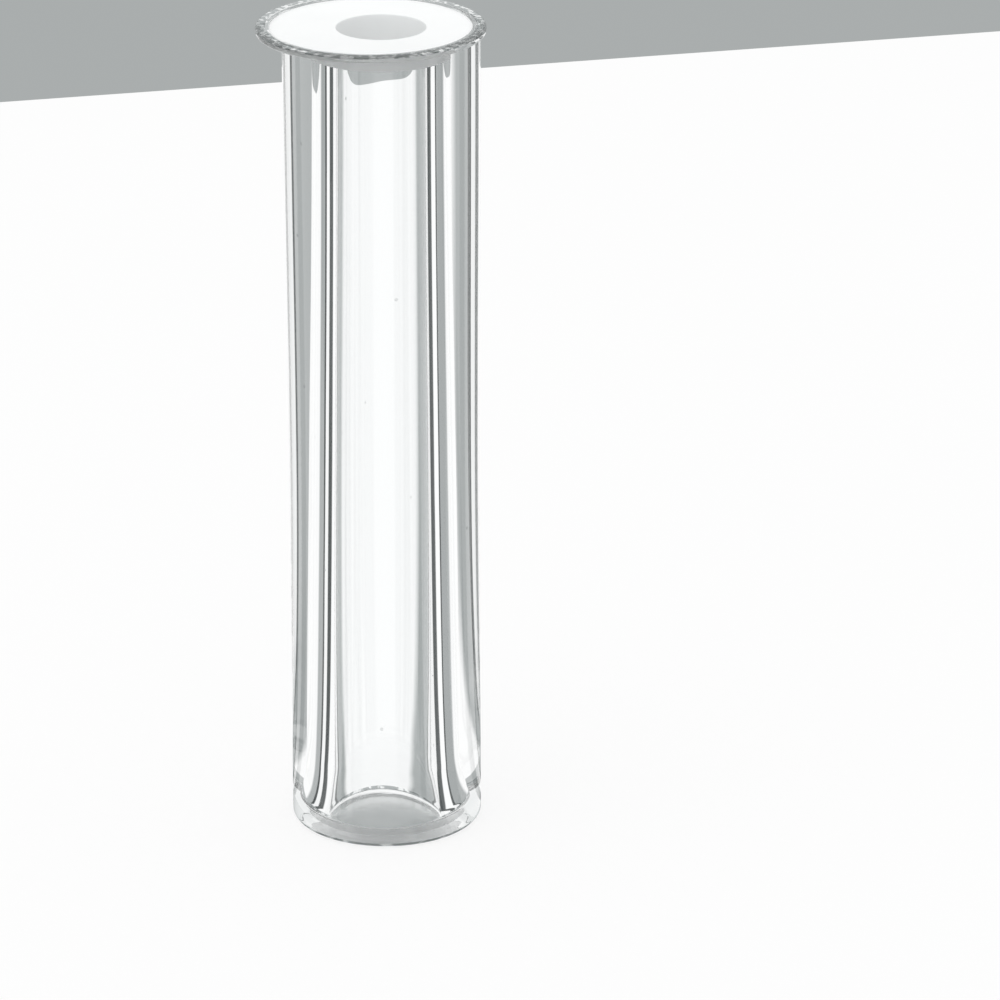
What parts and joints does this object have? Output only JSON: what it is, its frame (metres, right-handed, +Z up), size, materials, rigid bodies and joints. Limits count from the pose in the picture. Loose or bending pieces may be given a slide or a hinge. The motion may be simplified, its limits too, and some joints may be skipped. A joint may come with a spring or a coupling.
{
  "type": "bud vase",
  "caption": "Slim clear glass bud vase: a heavy thick-walled tube with a narrow bore, a flat base disc and a wide thin lip round a shallow recessed mouth.",
  "frame": {"origin": "on the standing surface, below the middle of the mouth", "axes": "+Z runs up to the mouth; +X points to the side the tube stands towards, because it is bonded slightly off the lip's centre; +Y completes the frame"},
  "size_m": [0.0538, 0.0538, 0.2],
  "materials": {
    "tube_glass": "clear, polished",
    "base_glass": "clear, with a ground matt hollow underneath",
    "collar_glass": "clear, fire polished"
  },
  "bodies": {
    "root": {"body_tube": "tube_glass", "base_disc": "base_glass", "lip_collar": "collar_glass"}
  },
  "joints": []
}
